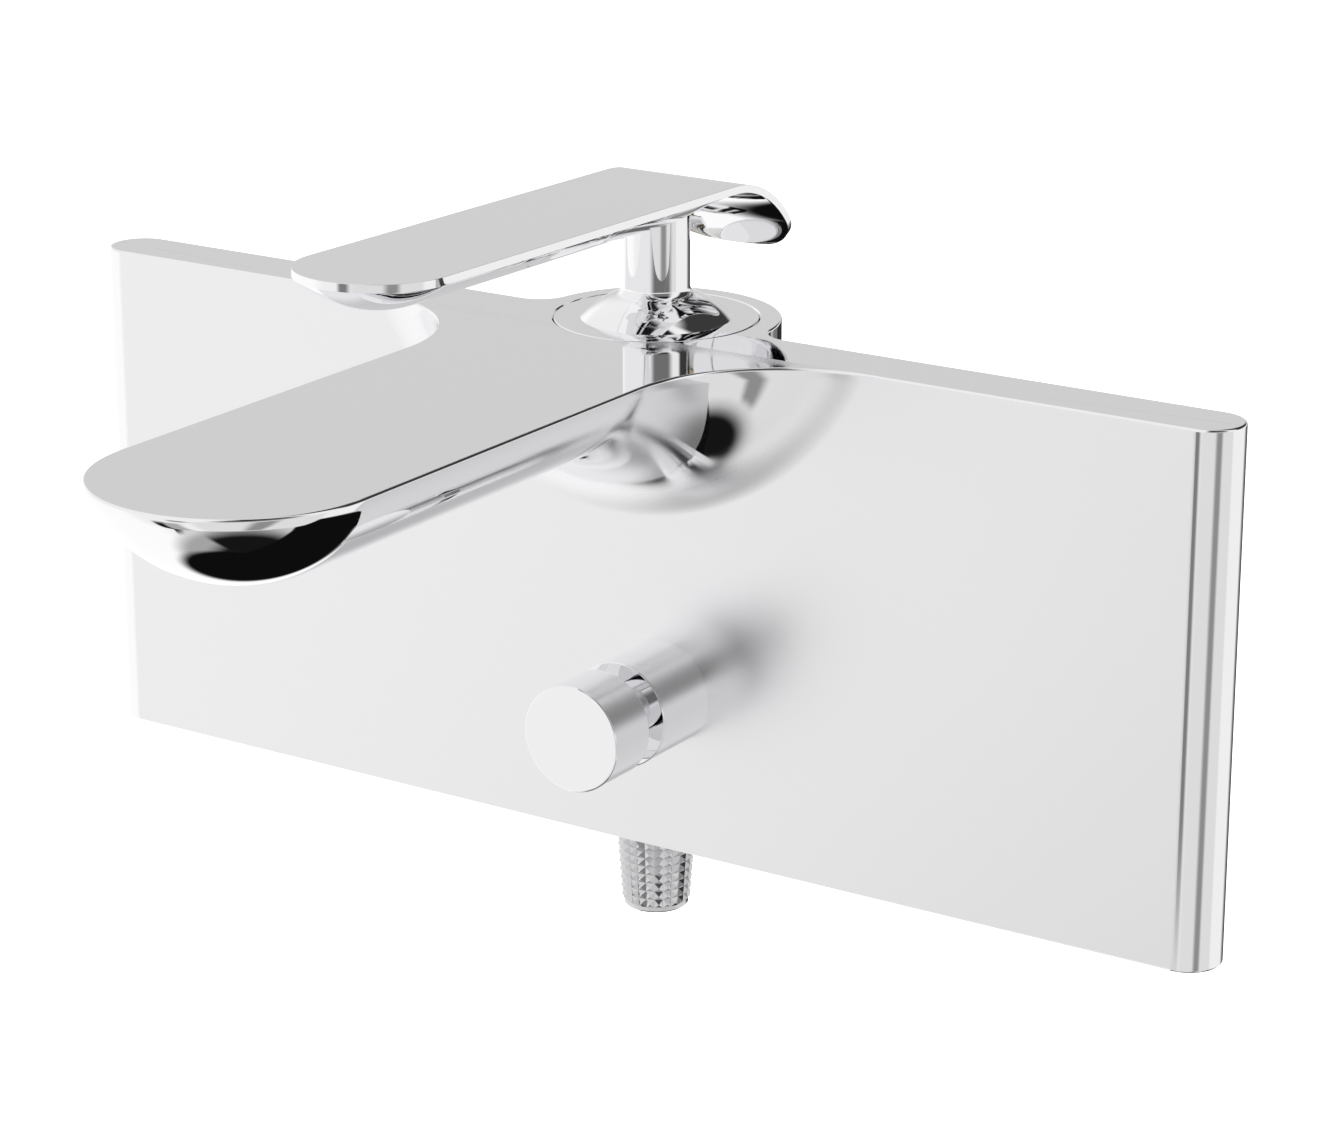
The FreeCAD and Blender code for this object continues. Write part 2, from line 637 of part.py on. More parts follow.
def diverter_collar():
    collar = cylinder(KNOB_R, at(KNOB_X, -COLLAR_LENGTH, KNOB_Z), COLLAR_LENGTH, Y)
    room = cylinder(KNOB_R - 2.2, at(KNOB_X, -COLLAR_LENGTH + 2.0, KNOB_Z), COLLAR_LENGTH, Y)
    hole = cylinder(NECK_R + 0.1, at(KNOB_X, -COLLAR_LENGTH, KNOB_Z), 3.0, Y)
    return collar.cut([room, hole])


def diverter_bush():
    """Gland screwed into the front of the plate; its rear rim is the spout side seat."""
    head = hexagon(15.0, at(KNOB_X, -4.0, KNOB_Z), 4.0)
    barrel = cylinder(CHAMBER_R + 0.45, at(KNOB_X, 0, KNOB_Z), BUSH_REAR, Y)
    spring_room = cylinder(5.2, at(KNOB_X, 3.0, KNOB_Z), BUSH_REAR, Y)
    spindle = cylinder(SPINDLE_R + FIT, at(KNOB_X, -5.0, KNOB_Z), 20.0, Y)
    groove = cylinder(4.4, at(KNOB_X, -1.0, KNOB_Z), 2.0, Y)
    side_port = cylinder(CHANNEL_R, at(KNOB_X, SIDE_DEPTH, KNOB_Z), CHAMBER_R + 1.0, X)
    return head.fuse(barrel).cut([spring_room, spindle, groove, side_port])


def diverter_seal():
    return tube(4.35, SPINDLE_R + FIT, at(KNOB_X, -0.95, KNOB_Z), 1.9, Y)


def diverter_spindle():
    return cylinder(SPINDLE_R, at(KNOB_X, -KNOB_START - 5.0, KNOB_Z), KNOB_START + 5.0 + SEAT_FRONT + 4.0, Y)


def diverter_knob():
    face = at(KNOB_X, -KNOB_END, KNOB_Z)
    head = cylinder(KNOB_R, face, KNOB_END - KNOB_START, Y)
    neck = cylinder(NECK_R, at(KNOB_X, -KNOB_START, KNOB_Z), KNOB_START - 5.5, Y)
    bore = cylinder(SPINDLE_R, at(KNOB_X, -KNOB_START - 5.0, KNOB_Z), KNOB_START, Y)
    return head.fuse(neck).cut(bore)


def diverter_valve():
    disc = tube(6.9, SPINDLE_R, at(KNOB_X, SEAT_FRONT - 6.0, KNOB_Z), 5.9, Y)
    return disc


def diverter_seat():
    return tube(CHAMBER_R - 0.02, 5.0, at(KNOB_X, SEAT_FRONT, KNOB_Z), 3.0, Y)


def diverter_spring():
    start = at(KNOB_X, 3.1, KNOB_Z)
    return coil(4.2, 0.4, start, SEAT_FRONT - 6.0 - 3.2, 6, Y)


# ---------------------------------------------------------------- shower outlet

def outlet_nipple():
    """Tapered hose nipple with a thread above, screwed into the foot of the boss."""
    thread = cylinder(OUTLET_THREAD_R, boss_point(0, 0, BOTTOM), OUTLET_THREAD)
    outline = [(0, 0), (OUTLET_TOP_R, 0), (OUTLET_END_R, -OUTLET_LENGTH + 1.0),
               (OUTLET_END_R - 1.0, -OUTLET_LENGTH), (0, -OUTLET_LENGTH)]
    cone = turned(outline, boss_point(0, 0, BOTTOM))
    bore = cylinder(OUTLET_BORE_R, boss_point(0, 0, BOTTOM - OUTLET_LENGTH + 4.0), OUTLET_LENGTH + OUTLET_THREAD)
    mouth = cylinder(5.6, boss_point(0, 0, BOTTOM - OUTLET_LENGTH), 6.0)
    return thread.fuse(cone).cut([bore, mouth])


def outlet_seal():
    return tube(OUTLET_THREAD_R, 6.8, boss_point(0, 0, BOTTOM + OUTLET_THREAD), 1.8)


def check_valve_body():
    body = tube(OUTLET_BORE_R - FIT, 4.6, boss_point(0, 0, BOTTOM - 14.0), 20.0)
    seat = tube(4.6, 3.4, boss_point(0, 0, BOTTOM + 3.0), 1.6)
    foot = tube(4.6, 1.4, boss_point(0, 0, BOTTOM - 14.0), 1.6)
    vents = [cylinder(0.9, boss_point(2.9 * math.cos(a), 2.9 * math.sin(a), BOTTOM - 14.0), 1.6)
             for a in (math.radians(60 * k) for k in range(6))]
    return body.fuse([seat, foot]).cut(vents)


def check_valve_poppet():
    disc = cylinder(4.1, boss_point(0, 0, BOTTOM + 0.9), 2.0)
    rod = cylinder(1.3, boss_point(0, 0, BOTTOM - 13.0), 14.0)
    return disc.fuse(rod)


def check_valve_spring():
    return coil(3.2, 0.35, boss_point(0, 0, BOTTOM - 12.3), 13.1, 6)


def build():
    nodes = {
        "body_casting": body_casting(),
        "back_cover_left": back_cover(-1),
        "back_cover_right": back_cover(1),
        "cover_screws": cover_screws(),
        "aerator_housing": aerator_housing(),
        "aerator_insert": aerator_insert(),
        "aerator_seal": aerator_seal(),
        "cartridge_base": cartridge_base(),
        "cartridge_seals": cartridge_seals(),
        "cartridge_housing": cartridge_housing(),
        "fixed_disc": fixed_disc(),
        "moving_disc": moving_disc(),
        "disc_carrier": disc_carrier(),
        "turn_sleeve": turn_sleeve(),
        "pivot_pin": pivot_pin(),
        "cartridge_stem": cartridge_stem(),
        "clamp_nut": clamp_nut(),
        "cover_ring": cover_ring(),
        "slide_ring": slide_ring(),
        "dome_cap": dome_cap(),
        "lever_post": lever_post(),
        "lever_blade": lever_blade(),
        "set_screw": set_screw(),
        "diverter_bush": diverter_bush(),
        "diverter_seal": diverter_seal(),
        "diverter_collar": diverter_collar(),
        "diverter_spindle": diverter_spindle(),
        "diverter_knob": diverter_knob(),
        "diverter_valve": diverter_valve(),
        "diverter_seat": diverter_seat(),
        "diverter_spring": diverter_spring(),
        "outlet_nipple": outlet_nipple(),
        "outlet_seal": outlet_seal(),
        "check_valve_body": check_valve_body(),
        "check_valve_poppet": check_valve_poppet(),
        "check_valve_spring": check_valve_spring(),
    }
    for name, side in (("hot", -1), ("cold", 1)):
        nodes["inlet_connector_" + name] = inlet_connector(side)
        nodes["union_nut_" + name] = union_nut(side)
        nodes["filter_washer_" + name] = filter_washer(side)
        nodes["s_union_" + name] = s_union(side)
        nodes["wall_rosette_" + name] = wall_rosette(side)
    return nodes


os.makedirs("parts", exist_ok=True)
for node, shape in build().items():
    shape.exportStep("parts/" + node + ".step")
    extent = shape.BoundBox
    print("%-22s solids %d  valid %s  volume %9.1f  x %.1f..%.1f  y %.1f..%.1f  z %.1f..%.1f" % (
        node, len(shape.Solids), shape.isValid(), shape.Volume, extent.XMin, extent.XMax,
        extent.YMin, extent.YMax, extent.ZMin, extent.ZMax))
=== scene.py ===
# %% [markdown]
# A wall mounted bath mixer. A broad chrome plate with half round ends carries a wide flat
# spout, a domed cap with a single lever, a pull diverter in front and a short hose outlet
# below. The engineering model is loaded first and stays where it is. The polished pieces that
# everybody sees are then modelled again with finer surfaces, because chrome is a mirror and
# shows every flat facet.

# %% Load the engineering model
import json
import math
import bmesh
import bpy
from mathutils import Matrix, Vector


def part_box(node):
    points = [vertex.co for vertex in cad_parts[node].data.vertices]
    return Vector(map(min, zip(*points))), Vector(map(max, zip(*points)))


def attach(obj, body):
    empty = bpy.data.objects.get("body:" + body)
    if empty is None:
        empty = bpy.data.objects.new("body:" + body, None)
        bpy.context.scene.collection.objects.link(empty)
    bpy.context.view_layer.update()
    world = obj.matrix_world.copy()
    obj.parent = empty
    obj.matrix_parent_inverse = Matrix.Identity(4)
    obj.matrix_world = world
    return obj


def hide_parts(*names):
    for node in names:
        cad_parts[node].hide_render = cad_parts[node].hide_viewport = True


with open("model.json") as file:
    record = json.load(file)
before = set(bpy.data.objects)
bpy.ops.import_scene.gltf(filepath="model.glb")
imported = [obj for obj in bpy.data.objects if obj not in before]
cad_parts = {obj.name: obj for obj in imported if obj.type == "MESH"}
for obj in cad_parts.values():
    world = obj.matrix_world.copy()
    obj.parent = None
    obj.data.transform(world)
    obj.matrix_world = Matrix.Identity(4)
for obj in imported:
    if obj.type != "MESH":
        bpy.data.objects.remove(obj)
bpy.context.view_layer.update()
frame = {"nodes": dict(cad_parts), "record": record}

MM = 0.001
TINY = 0.001 * MM                    # two points this close count as one
CLOSE = 0.002 * MM                   # a looser limit, after booleans and to find edges at a place
LEVEL = 0.005 * MM                   # a point this near to a level counts as on it
X, Y, Z = Vector((1, 0, 0)), Vector((0, 1, 0)), Vector((0, 0, 1))

# %% [markdown]
# All places come from the engineering model's own boxes. The body casting gives the plate's
# top, bottom and width. The collar stands on the front face, and the back covers lie in the
# rear face, so those two give the plate's thickness. The cover ring marks the round axis. The
# places could be typed in as numbers, but read like this they follow the model when it changes.

# %% Planes and axes read from the model


def low(node):
    return Vector(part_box(node)[0])


def high(node):
    return Vector(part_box(node)[1])


def middle(node):
    return (low(node) + high(node)) / 2


TOP = high("body_casting").z
BOTTOM = low("body_casting").z
HALF = high("body_casting").x
FRONT = high("diverter_collar").y
BACK = high("back_cover_left").y
THICK = BACK - FRONT
BOSS = Vector((0, middle("cover_ring").y, 0))
RING_R = (high("cover_ring").x - low("cover_ring").x) / 2
KNOB = middle("diverter_knob")
KNOB_R = (high("diverter_knob").x - low("diverter_knob").x) / 2
print("plate", round(2 * HALF, 4), round(TOP - BOTTOM, 4), round(THICK, 4), "front at", round(FRONT, 4))

# %% [markdown]
# Every piece ends the same way. Its doubles are merged, its normals point outwards, and its
# faces are smooth except across real corners. A weighted normal modifier keeps the large flat
# faces truly flat next to their small rounded edges, which a mirror finish needs.

# %% Finish a piece


def cleaned(bm):
    bmesh.ops.remove_doubles(bm, verts=bm.verts, dist=TINY)
    bmesh.ops.recalc_face_normals(bm, faces=bm.faces)
    return bm


def as_object(bm, name):
    mesh = bpy.data.meshes.new(name)
    bm.to_mesh(mesh)
    bm.free()
    piece = bpy.data.objects.new(name, mesh)
    bpy.context.scene.collection.objects.link(piece)
    return piece


def polish(piece, corner=32.0):
    piece.data.shade_smooth()
    piece.data.set_sharp_from_angle(angle=math.radians(corner))
    even = piece.modifiers.new("even shading", "WEIGHTED_NORMAL")
    even.keep_sharp = True
    even.weight = 70
    return piece


def install(piece, body, slot, *nodes):
    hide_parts(*nodes)
    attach(piece, body)
    print(piece.name, "faces", len(piece.data.polygons), "rides on", body)
    return piece


# %% [markdown]
# The spout and the lever share one form: a flat top, a short upright rim and a round
# underside, with a half round nose. Half of that section is drawn once. Its arc is a vertex
# spun about the arc's centre. Half a turn about the upright axis makes the nose, and the two
# cut ends of the nose together are the full section, ready to be pulled backwards.

# %% A round nose from half a section


def half_section(bm, half, rim, depth, steps):
    """Top centre, top edge, rim and the arc down to the keel, in the plane y = 0."""
    drop = depth - rim
    radius = (half * half + drop * drop) / (2 * drop)
    centre = bm.verts.new((0, 0, 0))
    edge = bm.verts.new((half, 0, 0))
    foot = bm.verts.new((half, 0, -rim))
    bm.edges.new((centre, edge))
    bm.edges.new((edge, foot))
    bmesh.ops.spin(bm, geom=[foot], cent=(0, 0, radius - depth), axis=Y, dvec=(0, 0, 0),
                   angle=math.asin(half / radius), steps=steps, use_merge=False, use_duplicate=False)
    return bm


def round_nose(half, rim, depth, arc_steps=40, turn_steps=72):
    bm = half_section(bmesh.new(), half, rim, depth, arc_steps)
    bmesh.ops.spin(bm, geom=list(bm.verts) + list(bm.edges), cent=(0, 0, 0), axis=Z, dvec=(0, 0, 0),
                   angle=-math.pi, steps=turn_steps, use_merge=False, use_duplicate=False)
    bmesh.ops.remove_doubles(bm, verts=bm.verts, dist=TINY)
    return bm


def cut_end(bm, y):
    """The edges of the section that lies at y."""
    return [e for e in bm.edges
            if all(abs(v.co.y - y) < CLOSE for v in e.verts) and len(e.link_faces) == 1]


def next_row(bm, y_old, y_new, wide, deep, rim):
    """Pulls the section at y_old to y_new, and scales its width and the part below the rim."""
    grown = bmesh.ops.extrude_edge_only(bm, edges=cut_end(bm, y_old))["geom"]
    row = [g for g in grown if isinstance(g, bmesh.types.BMVert)]
    bmesh.ops.translate(bm, vec=(0, y_new - y_old, 0), verts=row)
    bmesh.ops.scale(bm, vec=(wide, 1, 1), verts=row)
    belly = [v for v in row if v.co.z < -rim - TINY]
    bmesh.ops.scale(bm, vec=(1, 1, deep), space=Matrix.Translation((0, 0, rim)), verts=belly)
    return row


def close_end(bm, y):
    return bmesh.ops.edgeloop_fill(bm, edges=cut_end(bm, y))["faces"]


def edges_at(bm, test):
    return [e for e in bm.edges if all(test(v.co) for v in e.verts)]


def rounded(bm, edges, radius, segments=4, clamp=True):
    bmesh.ops.bevel(bm, geom=edges, offset=radius, offset_type="OFFSET", affect="EDGES",
                    segments=segments, profile=0.5, material=-1, clamp_overlap=clamp)


# %% [markdown]
# The spout leaves the plate in a wide concave sweep. Each row of the sweep lies on a quarter
# circle in plan, so the row is moved and widened by that circle's cosine. The underside
# deepens with it, and the last row lies in the plate's front face.

# %% Spout
SPOUT_HALF = 30.8 * MM
SPOUT_RIM = 1.6 * MM
SPOUT_DEPTH = 21.6 * MM
SWEEP = 35.0 * MM
SWEEP_STEPS = 44
ROOT_OVERLAP = 0.03 * MM             # the sweep ends this far inside the plate's front
ROOT_LENGTH = 3.0 * MM               # and goes straight on inside the plate
SPOUT_FOOT_ROUND = 0.8 * MM
SWEEP_DROP = 0.6                     # how much the underside sinks as the sweep widens
SPARE = 1.0 * MM                     # extra height that is cut off when the parts are joined

spout_nose = low("body_casting").y + SPOUT_HALF
spout_length = FRONT - SWEEP + ROOT_OVERLAP - spout_nose


def spout_form():
    bm = round_nose(SPOUT_HALF, SPOUT_RIM, SPOUT_DEPTH)
    next_row(bm, 0, spout_length, 1, 1, SPOUT_RIM)
    place, half, belly = spout_length, SPOUT_HALF, SPOUT_DEPTH - SPOUT_RIM
    for step in range(1, SWEEP_STEPS + 1):
        bend = math.pi / 2 * step / SWEEP_STEPS
        out = SWEEP * (1 - math.cos(bend))
        new_place = spout_length + SWEEP * math.sin(bend)
        new_half = SPOUT_HALF + out
        new_belly = SPOUT_DEPTH - SPOUT_RIM + SWEEP_DROP * out
        next_row(bm, place, new_place, new_half / half, new_belly / belly, SPOUT_RIM)
        place, half, belly = new_place, new_half, new_belly
    next_row(bm, place, place + ROOT_LENGTH, 1, 1, SPOUT_RIM)
    close_end(bm, place + ROOT_LENGTH)
    cleaned(bm)
    rounded(bm, edges_at(bm, lambda p: abs(p.z + SPOUT_RIM) < CLOSE), SPOUT_FOOT_ROUND)
    flat_top = [v for v in bm.verts if abs(v.co.z) < CLOSE]
    bmesh.ops.translate(bm, vec=Z * SPARE, verts=flat_top)
    bmesh.ops.translate(bm, vec=(0, spout_nose, TOP), verts=bm.verts)
    return bm


spout = as_object(spout_form(), "spout_form")
print("spout faces", len(spout.data.polygons))

# %% [markdown]
# The plate is a box whose four upright edges are rounded until its ends are half circles. The
# round boss behind it holds the cartridge. It is cut off just inside the front face, because
# there only the spout stands out. All three are a little too high, so that no two level faces
# coincide when boolean unions join them.

# %% Plate and boss, joined with the spout


def plate_form():
    bm = bmesh.new()
    bmesh.ops.create_cube(bm, size=1)
    bmesh.ops.scale(bm, vec=(2 * HALF, THICK, TOP - BOTTOM + 4 * SPARE), verts=bm.verts)
    upright = [e for e in bm.edges if abs(e.verts[0].co.z - e.verts[1].co.z) > THICK]
    rounded(bm, upright, THICK / 2 - CLOSE, 24)
    bmesh.ops.translate(bm, vec=(0, (FRONT + BACK) / 2, (TOP + BOTTOM) / 2), verts=bm.verts)
    return cleaned(bm)


BOSS_R = high("body_casting").y - BOSS.y


def boss_form():
    bm = bmesh.new()
    height = TOP - BOTTOM + 3 * SPARE
    bmesh.ops.create_cone(bm, cap_ends=True, segments=192, radius1=BOSS_R, radius2=BOSS_R,
                          depth=height)
    bmesh.ops.translate(bm, vec=(0, BOSS.y, (TOP + BOTTOM) / 2), verts=bm.verts)
    bmesh.ops.bisect_plane(bm, geom=list(bm.verts) + list(bm.edges) + list(bm.faces),
                           plane_co=(0, FRONT + THICK / 2, 0), plane_no=(0, -1, 0), clear_outer=True)
    bmesh.ops.holes_fill(bm, edges=bm.edges, sides=0)
    return cleaned(bm)


def combine(base, tool, operation):
    """Applies a boolean and removes the tool."""
    step = base.modifiers.new("join", "BOOLEAN")
    step.operation = operation
    step.object = tool
    step.solver = "EXACT"
    seen = bpy.context.evaluated_depsgraph_get()
    mesh = bpy.data.meshes.new_from_object(base.evaluated_get(seen))
    base.modifiers.clear()
    base.data = mesh
    bpy.data.objects.remove(tool)
    return base


def box_tool(corner_a, corner_b):
    bm = bmesh.new()
    bmesh.ops.create_cube(bm, size=1)
    bmesh.ops.scale(bm, vec=corner_b - corner_a, verts=bm.verts)
    bmesh.ops.translate(bm, vec=(corner_a + corner_b) / 2, verts=bm.verts)
    return bm


def upright_rod(spot, radius, height):
    bm = bmesh.new()
    bmesh.ops.create_cone(bm, cap_ends=True, segments=128, radius1=radius, radius2=radius,
                          depth=height)
    bmesh.ops.translate(bm, vec=spot, verts=bm.verts)
    return bm


casting = as_object(plate_form(), "chrome_body")
combine(casting, as_object(boss_form(), "boss_form"), "UNION")

# %% [markdown]
# A web fills both corners between the boss and the back. Two rods that touch the boss and the
# back carve its concave sides. The spout joins last.

# %% Web between boss and back, then the spout
BLEND = 7.4 * MM
OVERLAP = 0.02 * MM
rod_y = BACK + BLEND - OVERLAP
rod_x = math.sqrt((BOSS_R + BLEND - OVERLAP) ** 2 - (rod_y - BOSS.y) ** 2)
touch_y = BOSS.y + (rod_y - BOSS.y) * BOSS_R / (BOSS_R + BLEND)
web = as_object(box_tool(Vector((-rod_x, BACK - THICK / 2, BOTTOM - SPARE)),
                         Vector((rod_x, touch_y, TOP + SPARE / 2))), "web")
for side in (-1, 1):
    rod = upright_rod(Vector((side * rod_x, rod_y, 0)), BLEND, 1.5 * (TOP - BOTTOM))
    combine(web, as_object(rod, "rod"), "DIFFERENCE")
combine(casting, web, "UNION")
combine(casting, spout, "UNION")
print("body faces", len(casting.data.polygons))

# %% [markdown]
# The joined body is cut level at its top and bottom. Each cut is closed with one single face,
# so every corner of the outline has only three edges. A line along the middle halves those
# faces, so that the wells can open on it without any other seam.

# %% Level cuts


def cut_level(bm, height, up):
    cut = bmesh.ops.bisect_plane(bm, geom=list(bm.verts) + list(bm.edges) + list(bm.faces),
                                 dist=TINY, plane_co=(0, 0, height), plane_no=(0, 0, up),
                                 clear_outer=True)
    on_cut = [v for v in cut["geom_cut"] if isinstance(v, bmesh.types.BMVert)]
    bmesh.ops.remove_doubles(bm, verts=on_cut, dist=CLOSE)
    rim = [e for e in bm.edges if e.is_boundary]
    return bmesh.ops.edgeloop_fill(bm, edges=rim)["faces"]


def cut_both_ends(piece):
    bm = bmesh.new()
    bm.from_mesh(piece.data)
    bmesh.ops.remove_doubles(bm, verts=bm.verts, dist=CLOSE)
    lids = len(cut_level(bm, TOP, 1)) + len(cut_level(bm, BOTTOM, -1))
    bmesh.ops.dissolve_limit(bm, angle_limit=math.radians(0.05), verts=bm.verts, edges=bm.edges)
    bmesh.ops.bisect_plane(bm, geom=list(bm.verts) + list(bm.edges) + list(bm.faces),
                           plane_co=(0, 0, 0), plane_no=X)
    bm.to_mesh(piece.data)
    bm.free()
    print("lids", lids)


cut_both_ends(casting)

# %% [markdown]
# Round pieces are turned like on a lathe. A few points give the profile as radius and height,
# a full spin about the upright axis makes the solid, and chosen rings are rounded. The finished
# turning is then tipped onto its own axis.

# %% Lathe


def turned(profile, rings=(), closed=True, steps=128):
    """profile: (radius, height) in mm. rings: (radius, height, rounding) of edges to round."""
    bm = bmesh.new()
    corners = [bm.verts.new((r * MM, 0, h * MM)) for r, h in profile]
    for first, second in zip(corners, corners[1:]):
        bm.edges.new((first, second))
    if closed:
        bm.edges.new((corners[-1], corners[0]))
    bmesh.ops.spin(bm, geom=list(bm.verts) + list(bm.edges), cent=(0, 0, 0), axis=Z, dvec=(0, 0, 0),
                   angle=2 * math.pi, steps=steps, use_merge=True, use_duplicate=False)
    cleaned(bm)
    for radius, height, size in rings:
        ring = [e for e in bm.edges
                if all(abs(v.co.z - height * MM) < 0.01 * MM
                       and abs(v.co.xy.length - radius * MM) < 0.01 * MM for v in e.verts)]
        rounded(bm, ring, size * MM, 5)
    return bm


def placed(bm, spot, axis=Z):
    turn = Z.rotation_difference(axis).to_matrix().to_4x4()
    bmesh.ops.transform(bm, matrix=Matrix.Translation(spot) @ turn, verts=bm.verts)
    return cleaned(bm)


# %% [markdown]
# The hollows of the casting are cut with turned tools: the stepped well for the cover ring and
# the cartridge, the opening for the aerator, the diverter's chamber and the thread for the
# hose outlet. The well's mouth is slightly flared, which draws the fine groove round the ring.

# %% Wells and bores
FIT = 0.05                           # clearance of a hidden fit, in mm like all the bores here
GROOVE = 0.12
CHAMBER_R, CHAMBER_DEPTH = 8.5, 28
THREAD_R, THREAD_DEPTH = 8.7, 19
ring_mm = RING_R / MM
aerator_r = (high("aerator_housing").x - low("aerator_housing").x) / 2 / MM
aerator_top = (high("aerator_seal").z - TOP) / MM
cartridge_r = (high("cartridge_housing").x - low("cartridge_housing").x) / 2 / MM
cartridge_floor = (low("cartridge_base").z - TOP) / MM
nut_r = (high("clamp_nut").x - low("clamp_nut").x) / 2 / MM
nut_top = (high("clamp_nut").z - TOP) / MM
nut_bottom = (low("clamp_nut").z - TOP) / MM

well = turned([(0, 2), (ring_mm + 0.5, 2), (ring_mm + 0.5, 0.05), (ring_mm + 0.35, -0.12),
               (ring_mm + GROOVE, -0.4), (ring_mm + GROOVE, nut_top), (nut_r + FIT, nut_top),
               (nut_r + FIT, nut_bottom), (cartridge_r + FIT, nut_bottom),
               (cartridge_r + FIT, cartridge_floor), (0, cartridge_floor)], closed=False)
combine(casting, as_object(placed(well, Vector((0, BOSS.y, TOP))), "well"), "DIFFERENCE")

mouth = turned([(0, -40), (aerator_r + GROOVE, -40), (aerator_r + GROOVE, aerator_top),
                (0, aerator_top)], closed=False)
mouth_place = Vector((0, middle("aerator_housing").y, TOP))
combine(casting, as_object(placed(mouth, mouth_place), "mouth"), "DIFFERENCE")

chamber = turned([(0, -1), (CHAMBER_R, -1), (CHAMBER_R, CHAMBER_DEPTH), (0, CHAMBER_DEPTH)], closed=False)
chamber_place = Vector((KNOB.x, FRONT, KNOB.z))
combine(casting, as_object(placed(chamber, chamber_place, Y), "chamber"), "DIFFERENCE")

thread = turned([(0, -1), (THREAD_R, -1), (THREAD_R, THREAD_DEPTH), (0, THREAD_DEPTH)], closed=False)
combine(casting, as_object(placed(thread, Vector((0, BOSS.y, BOTTOM))), "thread"), "DIFFERENCE")
print("body faces after boring", len(casting.data.polygons))

# %% [markdown]
# The plate's back is hollow and two thin covers close it. Only the recess behind the covers
# and the round inlet sockets are open, so the tool is a box for each side and a short turning
# for each socket.

# %% Recesses at the back
COVER_GAP = Vector((0.2 * MM, 0, 0.2 * MM))
RECESS_DEPTH = 2.5 * MM
RECESS_PAST = 2 * MM
SOCKET_R, SOCKET_DEPTH = 10, 30

for cover in ("back_cover_left", "back_cover_right"):
    near, far = low(cover), high(cover)
    recess = box_tool(near - COVER_GAP - Y * RECESS_DEPTH, far + COVER_GAP + Y * RECESS_PAST)
    combine(casting, as_object(recess, "recess"), "DIFFERENCE")
for side in ("hot", "cold"):
    stub = low("inlet_connector_" + side)
    spot = Vector((middle("inlet_connector_" + side).x, stub.y, 0))
    socket = turned([(0, 0), (SOCKET_R, 0), (SOCKET_R, SOCKET_DEPTH), (0, SOCKET_DEPTH)],
                    closed=False, steps=64)
    combine(casting, as_object(placed(socket, spot, Y), "socket"), "DIFFERENCE")

# %% [markdown]
# The outlines of the level top and bottom get a small rounded edge. The mouths of the wells
# stay sharp. This comes after the boring, because the booleans came out empty when the body
# was rounded first.

# %% Rounded outlines
OUTLINE_ROUND = 0.6 * MM
WELL_R = RING_R + 1.2 * MM
CORNER = math.radians(60)


def edge_level(edge, height):
    return all(abs(v.co.z - height) < LEVEL for v in edge.verts)


def round_outlines(piece, radius):
    bm = bmesh.new()
    bm.from_mesh(piece.data)
    bmesh.ops.remove_doubles(bm, verts=bm.verts, dist=CLOSE)
    outline = []
    for edge in bm.edges:
        level = edge_level(edge, TOP) or edge_level(edge, BOTTOM)
        in_well = (edge.verts[0].co.xy - BOSS.xy).length < WELL_R
        if level and not in_well and edge.is_manifold and edge.calc_face_angle() > CORNER:
            outline.append(edge)
    rounded(bm, outline, radius, clamp=False)
    cleaned(bm)
    loose = sum(1 for e in bm.edges if not e.is_manifold)
    bm.to_mesh(piece.data)
    bm.free()
    print("outline edges", len(outline), "open edges", loose)
    return piece


polish(round_outlines(casting, OUTLINE_ROUND), 28.0)
install(casting, "mixer_body", "chrome", "body_casting")

# %% [markdown]
# The lever is modelled flat and then curled. Its rows run from the round nose to the tail. The
# underside fades from a full belly to a thin sheet behind the post, and the last rows narrow
# along a circle, which rounds the tail's corners.

# %% Lever, flat
LEVER_RIM = 1.8 * MM
LEVER_DEPTH = 8.6 * MM
SHEET = 2.5 * MM
TAIL_START = 24.0 * MM
TAIL_R = 30.6 * MM
TAIL_END = TAIL_START + TAIL_R * math.radians(66.0)
TAIL_CORNER = 9.0 * MM
FADE_START = 8.0 * MM
FADE_END = 28.0 * MM
LEVER_TOP_ROUND = 0.8 * MM
LEVER_FOOT_ROUND = 0.6 * MM
LEVER_RISE = math.atan(0.0172)
LEVER_TOP = TOP + 31.07 * MM
NOSE_Y = -85.7 * MM
STRAIGHT_Y = -30 * MM
FADE_STEPS, STRAIGHT_STEPS, CORNER_STEPS = 16, 24, 14

lever_half = high("lever_blade").x


def lever_rows():
    """(place, half width, belly) of each row behind the nose."""
    belly = LEVER_DEPTH - LEVER_RIM
    thin = SHEET - LEVER_RIM
    rows = [(STRAIGHT_Y, lever_half, belly), (FADE_START, lever_half, belly)]
    for step in range(1, FADE_STEPS + 1):
        share = step / FADE_STEPS
        ease = share * share * (3 - 2 * share)
        place = FADE_START + share * (FADE_END - FADE_START)
        rows.append((place, lever_half, belly + ease * (thin - belly)))
    straight_end = TAIL_END - TAIL_CORNER
    for step in range(1, STRAIGHT_STEPS + 1):
        place = FADE_END + step / STRAIGHT_STEPS * (straight_end - FADE_END)
        rows.append((place, lever_half, thin))
    for step in range(1, CORNER_STEPS + 1):
        turn = math.pi / 2 * step / CORNER_STEPS
        half = lever_half - TAIL_CORNER * (1 - math.cos(turn))
        rows.append((straight_end + TAIL_CORNER * math.sin(turn), half, thin))
    return rows


